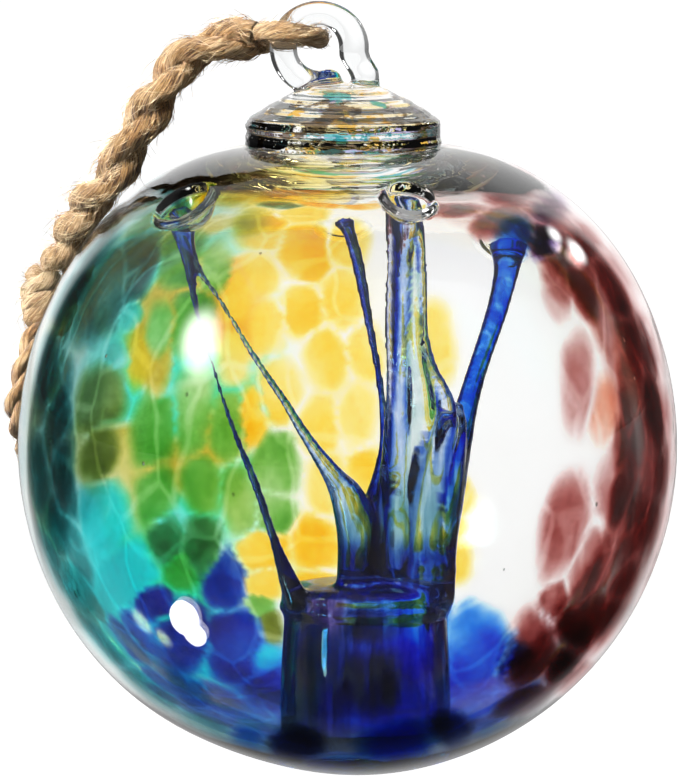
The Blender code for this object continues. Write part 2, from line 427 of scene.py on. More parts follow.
print("rope", round(route_length(ROPE_ROUTE), 4), "m, hanger", round(route_length(HANGER_ROUTE), 4), "m")

# %% [markdown]
# ## Twisted strands
# The rope has two strands, laid right-handed: each goes once round the rope's middle line in
# 27 mm. A real strand isn't smooth, so its skin is pushed in and out a little along its fibres.
# Single fibres that have come loose stand off it in small bows. They are far too many to model
# one by one with care, so each is a short bent curve of a few faces, put at a seeded random place.

# %% Strands
STRAND_OFF, STRAND_RADIUS, ROPE_PITCH = 2.0 * MM, 2.75 * MM, 27.0 * MM
HANGER_OFF, HANGER_RADIUS, HANGER_PITCH = 1.15 * MM, 1.42 * MM, 15 * MM
BIGHT_RADIUS = 2.15 * MM
FIBRE_TWIST = 2 * math.pi / 30  # for each millimetre along the strand


def strand_paths(route, step, off, radius, pitch, first_side=None):
    """The two strands' middle lines, wound round the route."""
    centre = smooth_route(route, step)
    laid = frames_along(centre, first_side)
    paths = []
    for half in (0, math.pi):
        gone, path = 0.0, []
        for i, (place, side, other, _) in enumerate(laid):
            gone += (place - laid[i - 1][0]).length if i else 0.0
            turn = half + 2 * math.pi * gone / pitch
            swell = 1 + 0.07 * noise.noise(Vector((gone * 160, half, 2.5)))
            middle = place + off * (math.cos(turn) * side + math.sin(turn) * other)
            path.append(Vector((*middle, radius * swell)))
        paths.append(path)
    return centre, paths


def strands(name, paths, segments, twist, lumps, look):
    """One object of a lumpy rod along each path."""
    bm = bmesh.new()
    for path in paths:
        rod(path, segments, twist, lumps, bm)
    return to_object(name, bm, (look,), smooth=True)


random.seed(11)
rope_line, rope_strands = strand_paths(
    ROPE_ROUTE, 0.7 * MM, STRAND_OFF, STRAND_RADIUS, ROPE_PITCH, Vector((0, -0.83, 0.55))
)
rope_stem = strands("rope_stem", rope_strands, 30, FIBRE_TWIST, 0.26, rope_jute)
bight_path = [Vector((*p, BIGHT_RADIUS)) for p in smooth_route(BIGHT_ROUTE, 0.6 * MM)]
for end in (bight_path[0], bight_path[-1]):
    end.w *= 1.1
rope_bight = strands("rope_bight", [bight_path], 28, FIBRE_TWIST, 0.24, rope_jute)
hanger_line, hanger_strands = strand_paths(
    HANGER_ROUTE, 1.1 * MM, HANGER_OFF, HANGER_RADIUS, HANGER_PITCH
)
rope_hanger = strands("rope_hanger", hanger_strands, 14, FIBRE_TWIST, 0.16, hanger_jute)
print("rope faces", [len(o.data.polygons) for o in (rope_stem, rope_bight, rope_hanger)])

# %% [markdown]
# ## The knot
# The knot is one strand wrapped twice round the others and pulled tight, and its ends have frayed
# into a pale wad. Two coils, half a turn apart and pushed into each other, give its lumps.

# %% The knot
KNOT_COIL = [
    (2.9, -1.6, 6.6), (0.6, -2.9, 4.4), (-2.5, -1.6, 2.9), (-2.7, 1.5, 1.2), (0, 2.9, 0.3),
    (2.6, 1.2, -0.6), (1.5, -2.5, -1.7), (-1.5, -2.7, -3.1), (-2.4, 0.3, -4.3), (-1, 2.2, -5.8),
]
knot_paths = []
for flip in (1, -1):
    coil = [
        Vector((*(KNOT_CENTRE + MM * Vector((flip * x, flip * y, z))), (2.5 - 0.07 * abs(z)) * MM))
        for x, y, z in KNOT_COIL
    ]
    knot_paths.append(smooth_route(coil, 0.7 * MM))
rope_knot = strands("rope_knot", knot_paths, 22, FIBRE_TWIST * 1.6, 0.22, knot_jute)
print("knot faces", len(rope_knot.data.polygons))


# %% Loose fibres
def loose_fibres(name, paths, count, reach_mm, stand_mm, thick_mm, look):
    """Short bent fibres that stand off the strands, each a curve with a thin round section."""
    curve = bpy.data.curves.new(name, "CURVE")
    curve.dimensions = "3D"
    curve.bevel_depth = MM
    curve.bevel_resolution = 0
    for _ in range(count):
        path = random.choice(paths)
        laid = frames_along(path)
        at = random.randrange(len(path))
        turn = random.uniform(0, 2 * math.pi)
        length = random.uniform(*reach_mm) * MM
        stand = random.uniform(*stand_mm) * MM
        lean = random.uniform(-1.1, 1.1)
        free = random.random() < 0.35
        spline = curve.splines.new("POLY")
        spline.points.add(5)
        place, side, other, along = laid[at]
        out = math.cos(turn) * side + math.sin(turn) * other
        cross = along.cross(out)
        for k, point in enumerate(spline.points):
            share = k / 5
            rise = share**1.5 if free else math.sin(math.pi * share)
            bow = 0.25 * length * math.sin(2.5 * share + turn)
            shift = along * (share - 0.3) * length + cross * (lean * share * length * 0.5 + bow * share)
            start = place + out * path[at].w * (0.95 - 0.25 * share * (not free))
            point.co = (*(start + shift + out * stand * rise), 1)
            point.radius = thick_mm * random.uniform(0.7, 1.1) * (1 - 0.5 * share)
    curve.materials.append(look)
    holder = bpy.data.objects.new(name, curve)
    mesh = bpy.data.meshes.new_from_object(holder)
    bpy.data.objects.remove(holder)
    return into_scene(name, mesh)


fibre_look, tree, shader = coloured("loose fibre")
spots = speckle(own_place(tree), Scale=260.0, Detail=1.0)
tint = mixed(ramp(spots, 0.35, 0.65), (0.40, 0.22, 0.09), (0.92, 0.74, 0.48))
link(tint, shader.inputs["Base Color"])
put(shader, Roughness=0.6)
random.seed(12)
stem_fibres = loose_fibres("stem_fibres", rope_strands, 1500, (2.0, 8.0), (0.15, 1.5), 0.085, fibre_look)
bight_fibres = loose_fibres("bight_fibres", [bight_path], 320, (1.5, 5), (0.15, 1.1), 0.08, fibre_look)
knot_fibres = loose_fibres("knot_fibres", knot_paths, 560, (2, 6.5), (0.2, 1.6), 0.08, fibre_look)
hanger_top = [path[: len(path) // 5] for path in hanger_strands]
hanger_fibres = loose_fibres("hanger_fibres", hanger_top, 190, (2, 6), (0.15, 1.2), 0.07, fibre_look)
fibres = (stem_fibres, bight_fibres, knot_fibres, hanger_fibres)
print("fibre faces", sum(len(piece.data.polygons) for piece in fibres))

# %% The cords, declared
ROPE_PIECES = [
    rope_stem, stem_fibres, rope_bight, bight_fibres,
    rope_knot, knot_fibres, rope_hanger, hanger_fibres,
]
for piece in ROPE_PIECES:
    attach(piece, "root")
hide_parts("jute_rope")
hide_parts("jute_bight")
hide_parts("jute_knot")
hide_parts("jute_hanger")
print("cords", round(route_length(rope_line), 4), round(route_length(hanger_line), 4))

# %% [markdown]
# ## Light for glass
# Glass shows its edges only when something bright lies behind it and something darker beside
# it. So the backdrop and the table are bright behind the ball, and the rest of the room is dim.
# Light that the glass has mirrored on its way sees the dim room on the other sides too, and light
# that it has only bent sees a bright backdrop there, so the ball glows from the back as well.
# Five small lamps give the white glints. Each is placed by its glint: the ball is a mirror, so the
# lamp stands where the line of sight goes after it is mirrored at the place of the glint.

# %% The room
ROOM_DIM, ROOM_AHEAD, ROOM_OVERHEAD, BACKDROP, TABLE_AHEAD = 0.10, 0.06, 0.36, 1.10, 0.5


def straight_through(tree):
    """1 for light that glass has only bent on its way, and 0 for light that was mirrored."""
    path = node(tree, "LightPath").outputs
    return times(maths("LESS_THAN", path["Glossy Depth"], 0.5), path["Is Transmission Ray"])


world = bpy.data.worlds.new("studio")
world.use_nodes = True
bpy.context.scene.world = world
tree = world.node_tree
x, y, z = parts_of(node(tree, "TexCoord").outputs["Generated"])
ahead = maths("DIVIDE", y, length_of(x, y))
level = times(ramp(z, 0.83, 0.50), ramp(z, -0.06, -0.01))
backdrop = times(ramp(ahead, 0.82, 0.88), level)
strength = ramp(z, 0.5, 0.85, ROOM_DIM, ROOM_OVERHEAD)
side = times(ramp(ahead, -0.35, 0.60), level)
strength = maths("MULTIPLY_ADD", side, ROOM_AHEAD - ROOM_DIM, strength)
strength = maths("MULTIPLY_ADD", backdrop, BACKDROP - ROOM_AHEAD, strength)
strength = times(strength, ramp(z, -0.12, 0.0, 0.2, 1.0))
# the mirror image of the table is only let in at the ball's very edge, where the light grazes it
grazed = times(ramp(z, -0.02, -0.08), ramp(z, -0.78, -0.40), ramp(ahead, 0.80, 0.95))
strength = maths("MULTIPLY_ADD", grazed, TABLE_AHEAD, strength)
# seen from the side or from behind, the glass has a bright backdrop too
around = times(ramp(ahead, 0.25, 0.0), level, straight_through(tree))
strength = maths("MULTIPLY_ADD", around, BACKDROP, strength)
background = tree.nodes["Background"]
put(background, Color=(1, 1, 1, 1))
link(strength, background.inputs["Strength"])
print("room", ROOM_DIM, "backdrop", BACKDROP)

# %% The table
TABLE_SIZE, PAPER_GLOW, LANE_GLOW, UNDER_GLOW = 14, 0.64, 0.74, 0.36


def sheet(name, height, glow_of):
    """A sheet of white paper lit from below, as bright at each place as glow_of says."""
    bm = bmesh.new()
    low = Matrix.Translation((0, 0, height))
    bmesh.ops.create_grid(bm, x_segments=2, y_segments=2, size=TABLE_SIZE, matrix=low)
    paper, tree, shader = coloured(name + " paper")
    put(shader, Base_Color=(0.9, 0.9, 0.9, 1), Roughness=1, Specular_IOR_Level=0)
    put(shader, Emission_Color=(1, 1, 1, 1))
    x, y, _ = parts_of(own_place(tree))
    link(glow_of(tree, x, y, length_of(x, y)), shader.inputs["Emission Strength"])
    made = to_object(name, bm, (paper,))
    return made


# an even glow, plus a painted pool of light round the ball that hides the ball's shadow
def glow_with_painted_light_round_ball(tree, x, y, apart):
    return ramp(apart, 0.30, 0.05, PAPER_GLOW, 1.7 * PAPER_GLOW)


def lane_glow(tree, x, y, apart):
    """Bright behind the ball, faint under it and near it on the left, and dark elsewhere."""
    wide = maths("ABSOLUTE", x)
    wedge = ramp(maths("DIVIDE", wide, maths("MAXIMUM", y, 0.001)), 0.72, 0.60)
    lane = maths("MAXIMUM", ramp(wide, 0.105, 0.088), wedge)
    lane = times(lane, ramp(y, 0.012, 0.040, 0.0, LANE_GLOW))
    near_left = times(ramp(apart, 0.26, 0.18), ramp(x, 0.06, 0.01, 0.25, 1.0))
    near_left = times(near_left, ramp(y, -0.05, -0.02, 0.0, UNDER_GLOW))
    turned = ramp(maths("DIVIDE", y, maths("MAXIMUM", apart, 0.001)), 0.25, 0.0)
    around = times(turned, ramp(apart, 0.04, 0.08, 0.0, LANE_GLOW), straight_through(tree))
    return maths("MAXIMUM", maths("MAXIMUM", lane, near_left), around)


# The first sheet is the table that is seen; it glows brighter round the ball, a painted pool of
# light where the ball's shadow would fall. The second is the table that lights the glass: it is
# dark where the studio has black card, which gives the glass its dark edges.
table = sheet("table", 0, glow_with_painted_light_round_ball)
table.visible_glossy = table.visible_transmission = table.visible_diffuse = False
card = sheet("table with black card", -0.5 * MM, lane_glow)
card.visible_camera = card.visible_glossy = False


# %% Lamps
def panel(name, place, towards, width, height, brightness, upright=None):
    """A soft lamp of an even brightness, facing back along towards. upright is its long side's way."""
    data = bpy.data.lights.new(name, "AREA")
    data.shape = "RECTANGLE" if upright is None else "ELLIPSE"
    data.size, data.size_y = width, height
    area = width * height * (1 if upright is None else math.pi / 4)
    data.energy = brightness * math.pi * area
    lamp = into_scene(name, data)
    back = Vector(towards).normalized()
    upright = Vector((0, 1, 0)) if upright is None else upright
    upright = (upright - back * upright.dot(back)).normalized()
    turned = Matrix((upright.cross(back), upright, back)).transposed().to_4x4()
    lamp.matrix_world = Matrix.Translation(place) @ turned
    return lamp


def soft_edged(data):
    """Fades the lamp from its middle to its rim, as a lamp behind cloth does."""
    data.use_nodes = True
    tree = data.node_tree
    offset = node(tree, "VectorMath", operation="SUBTRACT")
    link(node(tree, "NewGeometry").outputs["Parametric"], offset.inputs[0])
    offset.inputs[1].default_value = (0.5, 0.5, 0)
    out = node(tree, "VectorMath", operation="LENGTH")
    link(scaled(offset.outputs[0], 1, 1, 0), out.inputs[0])
    fade = maths("POWER", ramp(out.outputs["Value"], 0.5, 0.05), 1.8)
    link(fade, tree.nodes["Emission"].inputs["Strength"])


def glint_lamp(name, across, up, wide, tall, brightness, distance=1.2, soft=True):
    """A lamp whose glint on the ball is that wide and tall in millimetres."""

    def mirrored(a, u):
        on_wall = seen_on_wall(a, u, 1, BALL_RADIUS / MM)
        out = (on_wall - CENTRE).normalized()
        ray = AWAY - 2 * AWAY.dot(out) * out
        return on_wall + distance * ray, ray

    place, ray = mirrored(across, up)
    high = mirrored(across, up + tall / 2)[0] - mirrored(across, up - tall / 2)[0]
    broad = mirrored(across + wide / 2, up)[0] - mirrored(across - wide / 2, up)[0]
    lamp = panel(name, place, ray, broad.length, high.length, brightness, high)
    lamp.visible_diffuse = False
    if soft:
        soft_edged(lamp.data)
    print(name, "at", [round(v, 3) for v in place], "size", round(broad.length, 2), round(high.length, 2))
    return lamp


strip = panel("strip over the table", (0, 2.0, 1.4), (0, 0, 1), 0.45, 4.0, 0.4)
strip.data.spread = math.radians(60)
key = panel("key for the rope", (-1.1, -0.7, 1.25), (-1.04, -0.7, 1.1), 0.35, 0.35, 6.5)
key.data.spread = math.radians(28)
key.light_linking.receiver_collection = bpy.data.collections.new("lit by the key")
for piece in ROPE_PIECES:
    key.light_linking.receiver_collection.objects.link(piece)
# the part of the rope that is put away lies behind the ball, where the glass would show it
for piece in (rope_hanger, hanger_fibres):
    piece.visible_transmission = False
for lamp in (strip, key):
    lamp.visible_camera = lamp.visible_glossy = lamp.visible_transmission = False
glint_lamp("left softbox", -33.4, 21.6, 13.5, 24.0, 26)
glint_lamp("upper softbox", 51.5, 44.0, 3.2, 6.4, 18)
glint_lamp("second upper softbox", 45.8, 48.8, 2.6, 5.2, 13)
glint_lamp("low softbox", -36.6, -38.0, 6.0, 7.4, 24, distance=0.03, soft=False)
glint_lamp("second low softbox", -34.2, -41.8, 4.6, 4.6, 20, distance=0.028, soft=False)

# %% Colour and light paths
bpy.context.scene.view_settings.view_transform = "Standard"
cycles = bpy.context.scene.cycles
cycles.use_denoising = True
cycles.max_bounces = 40
cycles.transmission_bounces = 40
cycles.glossy_bounces = 12
cycles.transparent_max_bounces = 16
cycles.sample_clamp_indirect = 6

# %% [markdown]
# ## The ball's two skins
# A blown ball has an outer skin and an inner skin, a few millimetres apart, and light bends at
# both. So the glass is modelled as a shell: an outer surface that faces outwards, and the wall
# of the cavity, which faces into the cavity. The wall is thick at the neck, where the glass left
# the pipe, and at the heel. Where a thread ends, it has drawn the wall in to a pit. Both skins
# start from a geodesic ball, which has no poles to pinch the light.

# %% The ball's shape
TOP_SINK, TOP_SPREAD = 0.085, math.radians(20)
SHOULDER_SWELL, SHOULDER_AT, SHOULDER_SPREAD = 0.015, math.radians(52), math.radians(20)
DENT_TOWARDS, DENT_DEPTH, DENT_SPREAD = Vector((-0.30, 0.0, -0.954)), 0.022, math.radians(17)
PIT_DIRECTIONS = [
    Vector((-0.488, -0.387, 0.782)).normalized(),
    Vector((0.183, -0.550, 0.814)).normalized(),
    Vector((-0.008, 0.732, 0.681)).normalized(),
    Vector((0.500, 0.621, 0.603)).normalized(),
]
PIT_SIZES = [0.94, 0.76, 0.8, 0.9]
PIT_MOUTH, PIT_DEPTH = 6.8, 5.0
CAVITY_PIT_MOUTH, CAVITY_PIT_DEPTH = 8.4, 6.2
CHIP_RELIEF = 0.02


def outer_radius(way):
    polar = math.acos(max(-1, min(1, way.z)))
    sink = TOP_SINK * math.exp(-((polar / TOP_SPREAD) ** 2))
    swell = SHOULDER_SWELL * math.exp(-(((polar - SHOULDER_AT) / SHOULDER_SPREAD) ** 2))
    dent = DENT_DEPTH * math.exp(-((way.angle(DENT_TOWARDS) / DENT_SPREAD) ** 2))
    return BALL_RADIUS * (1 - sink + swell) * (1 - dent)


def wall(way):
    """How thick the wall is: thin round the middle, and thick at the neck and the heel."""
    polar = math.degrees(math.acos(max(-1, min(1, way.z))))
    neck = 6.2 * math.exp(-((polar / 25) ** 2))
    heel = 0.9 * math.exp(-(((180 - polar) / 26) ** 2))
    return MM * (2.6 + 0.4 * way.x + neck + heel)


def pit(distance, mouth, depth):
    """How far a pit is drawn in, at a distance from its middle: steep at the mouth, round within."""
    inside = max(0.0, 1 - (distance / mouth) ** 2.4)
    soft = max(0.0, 1 - distance / (1.12 * mouth)) ** 2
    return depth * (0.85 * inside + 0.15 * soft)


def ball_surface(subdivisions, finer, radius_of, mouth, depth, ripple, relief=None):
    """A geodesic ball, finer round the pits, moved out to radius_of and in at the pits."""
    bm = bmesh.new()
    bmesh.ops.create_icosphere(bm, subdivisions=subdivisions, radius=1)
    for reach in finer:
        near = [
            edge
            for edge in bm.edges
            if any((edge.verts[0].co.normalized() - way).length < reach for way in PIT_DIRECTIONS)
        ]
        bmesh.ops.subdivide_edges(bm, edges=near, cuts=1)
        bmesh.ops.triangulate(bm, faces=[face for face in bm.faces if len(face.verts) > 3])
    ways = [vert.co.normalized() for vert in bm.verts]
    raised = relief(np.array(ways)) if relief else np.zeros(len(ways))
    for vert, way, rise in zip(bm.verts, ways, raised):
        radius = radius_of(way) / MM - CHIP_RELIEF * rise
        radius += ripple * (noise.noise(way * 3.1) + 0.4 * noise.noise(way * 7.0))
        for towards, size in zip(PIT_DIRECTIONS, PIT_SIZES):
            away = way.angle(towards) * BALL_RADIUS / MM / size
            if away < 1.12 * mouth:
                radius -= size * pit(away, mouth, depth * (1 if towards.y < 0 else 0.4))
        vert.co = CENTRE + MM * float(radius) * way
        vert.co.z = max(vert.co.z, 0.0)
    return bm


# %% [markdown]
# ## The coloured chips
# The gather of glass is rolled in broken coloured glass before it is blown. Each chip melts to a
# soft oval, stretched along the way the ball was drawn out, and where two chips meet, a pale
# vein of clear glass is left. A texture could scatter cells, but it can't say which chip is plum
# and which is green. So the chips are listed one by one where they matter, the space between is
# filled by rows of chips that take their colour from broad zones, and the result is
# painted on the wall of the cavity as an attribute: for each colour of light, the share that one
# passage through the wall lets by.

# %% The palette
PALETTE = {
    "clear": (0.985, 0.985, 0.98),
    "yellow": (0.985, 0.66, 0.05),
    "amber": (0.95, 0.48, 0.05),
    "green": (0.20, 0.50, 0.09),
    "olive": (0.22, 0.27, 0.04),
    "forest": (0.02, 0.14, 0.03),
    "teal": (0.03, 0.17, 0.18),
    "cyan": (0.03, 0.80, 0.84),
    "cobalt": (0.004, 0.03, 0.42),
    "blue": (0.004, 0.10, 0.72),
    "navy": (0.01, 0.015, 0.09),
    "violet": (0.06, 0.03, 0.16),
    "plum": (0.42, 0.13, 0.12),
    "salmon": (0.82, 0.30, 0.19),
}
TAKES = {name: -np.log(colour) for name, colour in PALETTE.items()}

# %% Chips listed one by one
# by colour and wall, 1 the near one and -1 the far one: across, up, half width, half height,
# lean to the right, strength
CHIPS_LAID = {
    ("teal", -1): [(-53, 38, 4.5, 12.5, 35, 1), (-15, 65.5, 4, 2, 0, 1)],
    ("green", -1): [
        (-46, 26, 3.6, 7, 20, 0.45), (-38, 45, 5, 6.5, 20, 0.8), (-37, 30, 4.2, 8, 14, 0.8),
        (-31.5, 43, 3.8, 6, 8, 0.5), (-46, 4, 4.6, 8.5, 8, 0.9), (-36.5, 8, 4.4, 9.5, 6, 0.8),
        (-28.5, 4, 4.2, 8, 2, 0.65), (-45.5, -12.2, 4, 6.5, 2, 1), (-34.5, -9.5, 4.6, 7, 0, 0.9),
        (-25.2, -13.5, 4.2, 7.5, -8, 1.1), (-39.5, -30, 4, 4.4, 0, 1), (-17.2, -4.5, 5, 7.4, 0, 1.15),
        (-17.8, -17, 4.4, 6, -6, 1.1), (-20.5, -38.5, 3.2, 2.8, 0, 0.8),
    ],
    ("cyan", -1): [
        (-51, 31, 2.2, 3.2, 30, 0.5), (-54, 21, 2.6, 2.4, 20, 0.5), (-57.7, -18, 5, 8.5, -10, 0.6),
        (-51.5, -31, 6.4, 7.5, -25, 0.9), (-19, -51, 3.4, 3.6, 0, 0.9),
    ],
    ("yellow", -1): [
        (-48.8, 22.5, 3.6, 7.8, 15, 1.2), (-25.8, 36, 3.6, 6.6, 8, 0.4), (-27, 20, 4, 7, 6, 0.25),
        (-22.8, 7, 3.4, 6.6, 2, 1), (-19.7, 55, 5.4, 6.4, 0, 1.1), (-9.5, 48.5, 5.4, 8.4, 0, 1.1),
        (0.5, 50.5, 4.2, 6.6, 0, 0.65), (-20.5, 42.5, 4, 5.8, 0, 0.40), (-10.5, 33, 4.6, 5.8, 0, 0.60),
        (-0.8, 36, 4, 7, 0, 0.45), (-19, 28.5, 3.8, 6.4, 4, 0.40), (-5, 20.5, 4.6, 6.6, 0, 0.45),
        (4.5, 22.5, 3.8, 6.5, 0, 0.40), (-16.5, 12.5, 4.6, 7.2, 0, 0.95), (-6.5, 5, 4.2, 6.6, 0, 0.55),
        (2.8, 6.5, 4, 7.6, 0, 0.3), (-4.5, -10, 4.4, 6.8, 0, 0.6), (4.6, -9, 4.2, 7.5, 0, 0.8),
        (-19.5, -25.5, 6.2, 4.6, 0, 1.1), (-7, -24, 5.6, 6, 0, 1), (5, -26, 5.2, 7, 0, 0.9),
        (-19.5, -33.5, 4.6, 3.4, 0, 0.6), (-7, -35.5, 5.4, 4.6, 0, 1.1), (22, 24.5, 3.8, 9, -6, 0.35),
        (28, -12.5, 2.6, 4, 0, 0.6), (27.2, -19.5, 2.4, 3, 0, 0.6), (26.5, -27.5, 3.6, 4.6, 0, 0.75),
    ],
    ("amber", -1): [
        (-44, 15, 2, 5.4, 12, 0.6), (-6, 67.5, 5, 2, 0, 0.9), (4, 67, 4.6, 2.2, 0, 0.8),
    ],
    ("olive", -1): [
        (-58.6, 10.4, 4.8, 7.5, 20, 1.2), (-58.8, -1, 3.3, 7.6, 8, 0.9), (-18.2, -44, 2.8, 4, -10, 0.8),
    ],
    ("forest", -1): [(-43, -23.5, 4.2, 6, -8, 0.65), (-34.5, -24.5, 4.6, 6.8, -4, 0.75)],
    ("cobalt", -1): [
        (-46.2, -37, 5.2, 3.8, 40, 1), (-29, -33, 4.6, 8.5, -8, 1), (-38.5, -46, 6, 7, 20, 0.9),
        (-26.5, -47, 6.6, 8, -10, 1), (-16, -58, 7, 4.5, 0, 1),
    ],
    ("blue", -1): [
        (29.5, -52, 8, 9.6, 8, 0.95), (21, -50, 6.5, 10, 0, 1), (40, -56, 4, 6.5, 20, 0.7),
    ],
    ("violet", -1): [(12.5, 66.5, 3.5, 1.8, 0, 0.5)],
    ("plum", -1): [(24, 62.5, 6, 2.6, 0, 0.8), (37, 57.5, 6, 3.4, -30, 1.2)],
    ("teal", 1): [
        (-66.2, 17.7, 2.6, 10, 6, 0.50), (-67.8, -6, 2.2, 9, -4, 0.50), (-61, 33, 3, 9, 32, 0.50),
        (-65.5, -25, 2, 9, -22, 0.30), (-55, 43, 3, 7.5, 45, 0.33), (-54.5, -43, 2.4, 9, -45, 0.22),
        (-44.5, -53, 2.6, 8.5, -55, 0.2), (-31, -62, 2.8, 8, -66, 0.25), (-40, 57.5, 5, 2, 35, 0.9),
        (-31, 62, 4.5, 1.6, 25, 0.7),
    ],
    ("cyan", 1): [(-60, -30, 2.8, 7, -28, 0.25)],
    ("cobalt", 1): [(-35, -52, 3.2, 6, -40, 0.18)],
    ("plum", 1): [
        (45.2, 35, 3.2, 7.2, -4, 0.41), (50.3, 36, 3.3, 9, -15, 0.58), (57.2, 34.3, 2.8, 7.5, -24, 0.36),
        (60.4, 39, 2, 6.5, -35, 1.3), (52.5, 45.5, 3, 4.5, -30, 0.6), (49.9, 14.6, 3.7, 12, 1, 0.41),
        (58.6, -8.5, 4.8, 10.5, 4, 0.44), (47, -16.5, 4.8, 12, 16, 0.62), (53, -27, 4.2, 12.5, 20, 0.61),
        (62, -19, 3, 10.5, 12, 0.36), (39.8, -43.8, 5.8, 9.6, 14, 1.3), (51.8, -37.4, 6.2, 7.4, 30, 2.6),
        (45.6, -33.5, 3.6, 5.5, 25, 1.6), (58, -37.5, 3.2, 8, 30, 1.3), (46.6, -48, 3.2, 5, 40, 1.9),
        (50.5, -51, 5.6, 2.8, -38, 2.08), (38.4, -55.8, 6.8, 3.4, -30, 1.60),
        (60.8, -29, 2.6, 7, 22, 0.65), (36.5, 59, 7.5, 3.6, -35, 1.1), (28, 61.5, 4.5, 1.8, -20, 0.8),
    ],
    ("violet", 1): [(42.5, 44.5, 3.8, 3.6, 10, 0.8), (44.5, 53, 4, 3, -35, 0.8)],
    ("blue", 1): [
        (36.2, 45.8, 4.2, 4.4, -10, 0.8), (11.6, -65.2, 9.7, 5, -15, 1.4), (0.5, -70.5, 9, 2.6, 0, 0.7),
        (-22.5, -65, 5.5, 3.4, 20, 0.7), (33, -63, 6.5, 3, -25, 0.7),
    ],
    ("salmon", 1): [(56, 7.5, 3.3, 9, 2, 0.55), (61.2, 19, 2.9, 11.5, -10, 0.45)],
    ("navy", 1): [
        (35.3, -44.5, 1.6, 6.5, 14, 0.5), (-11.9, -65.4, 6.6, 4.6, 0, 1.6), (22.9, -62.4, 6, 5.2, 40, 0.8),
    ],
}
CHIPS = [(*kind, *row) for kind, rows in CHIPS_LAID.items() for row in rows]

# %% Zones that fill the rest, the later ones over the earlier ones
ZONES = [  # colour, wall, across, up, half width, half height, strength
    ("yellow", -1, -8, 20, 15, 48, 0.75),
    ("green", -1, -46, 10, 13, 46, 0.75),
    ("cyan", -1, -54, -34, 16, 18, 0.7),
    ("teal", -1, -66, 5, 10, 60, 0.5),
    ("cobalt", -1, -32, -54, 22, 17, 0.6),
    ("blue", -1, 20, -60, 40, 14, 1.0),
    ("plum", -1, 71, 4, 7, 58, 0.6),
    ("plum", -1, 54, 49, 12, 12, 0.6),
    ("plum", -1, 60, -42, 9, 15, 0.7),
    ("teal", 1, -68, 5, 8, 60, 0.5),
    ("plum", 1, 70.5, 0, 6, 60, 0.9),
    ("cobalt", 1, 0, -72, 46, 9, 0.6),
]
# bands of colour at the ball's edge as seen from the front, from one bearing round to another,
# counted from the right: partly the chips' colour seen edge-on, partly painted shade, the dark edge
# the glass shows there
RIMS_WITH_PAINTED_SHADE = [  # colour, from, to, how far out they begin and are full, strength
    ("teal", 108, 196, 54, 63, 0.36),
    ("teal", 120, 240, 66, 69, 0.15),
    ("cyan", 190, 262, 50, 59, 0.40),
    ("blue", 246, 300, 50, 59, 0.18),
    ("cobalt", 262, 322, 58, 67, 0.16),
    ("plum", 306, 414, 63.5, 72, 1.0),
    ("plum", 312, 408, 64, 66.5, 2.0),
    ("plum", 408, 440, 60, 69, 1.0),
]
# the colour of the veins between the chips, where the noise is above nought (1) or below it (-1)
VEINS = [
    ("amber", -1, -38, 14, 20, 46, 0.9, 1),
    ("cyan", -1, -40, 10, 20, 46, 0.6, -1),
    ("cyan", -1, -40, -44, 26, 18, 0.9, 1),
    ("blue", -1, -30, -52, 16, 12, 0.6, -1),
    ("amber", 1, -62, 8, 10, 40, 0.3, -1),
]
# a thin even wash of colour under the chips
WASHES = [
    ("yellow", -1, -6, 18, 20, 46, 0.05),
    ("cyan", -1, -42, 8, 14, 40, 0.10),
    ("yellow", -1, -30, 10, 9, 50, 0.2),
    ("cyan", -1, -48, -38, 18, 20, 0.6),
    ("green", -1, -46, 14, 15, 46, 0.10),
    ("yellow", 1, -17, 59.5, 17, 6, 1.6),
    ("teal", 1, -64, 0, 14, 66, 0.12),
    ("blue", -1, 6, -64, 40, 13, 0.8),
    ("cyan", -1, -40, -56, 18, 14, 0.6),
    ("plum", 1, 71, -6, 7, 60, 0.2),
    ("cobalt", 1, 0, -74, 44, 9, 0.25),
]
print("chips by hand", len(CHIPS))

# %% Where each chip is
CHIP_WIDE, CHIP_TALL = 4.4, 7.2
ROW_APART = math.radians(10.2)
CHIP_DEPTH = 1.35
UP_ARRAY, AWAY_ARRAY = np.array(UP), np.array(AWAY)


def oval(across, up, middle_across, middle_up, half_width, half_height, lean=0.0):
    """How far out a place is from an oval's middle, with 1 at its edge."""
    turn = math.radians(lean)
    a, b = across - middle_across, up - middle_up
    wide = (a * math.cos(turn) - b * math.sin(turn)) / half_width
    high = (a * math.sin(turn) + b * math.cos(turn)) / half_height
    return np.sqrt(wide**2 + high**2)


def seen_parts(ways):
    """Across and up in millimetres as seen from the front, and which wall, for unit directions."""
    near = np.where(ways @ AWAY_ARRAY < 0, 1, -1)
    return ways[:, 0] * SKIN, ways @ UP_ARRAY * SKIN, near


def fill_chips():
    """Rows of chips round the ball where a zone has a colour and no chip was listed."""
    random.seed(5)
    found = []
    rows = int(math.pi / ROW_APART)
    for row in range(1, rows):
        polar = row * ROW_APART
        count = max(5, round(2 * math.pi * SKIN * math.sin(polar) / (1.95 * CHIP_WIDE)))
        for i in range(count):
            turn = 2 * math.pi * (i + 0.5 * (row % 2) + random.uniform(-0.22, 0.22)) / count
            tilt = polar + ROW_APART * random.uniform(-0.25, 0.25)
            flat = math.sin(tilt)
            way = Vector((flat * math.cos(turn), flat * math.sin(turn), math.cos(tilt)))
            size, lean = random.uniform(0.85, 1.15), random.uniform(-14, 14)
            drawn = random.uniform(0.65, 1.25)
            (across,), (up,), (near,) = seen_parts(np.array([way]))
            if any(side == near and oval(across, up, *chip) < 1.5 for _, side, *chip, _ in CHIPS):
                continue
            chosen = None
            for colour, side, a, u, w, h, strength in ZONES:
                if side == near and oval(across, up, a, u, w, h) < 1:
                    chosen = (colour, strength * drawn)
            if chosen:
                found.append((*chosen, way, CHIP_WIDE * size, CHIP_TALL * size, lean))
    return found


FILL_CHIPS = fill_chips()
print("chips in rows", len(FILL_CHIPS))


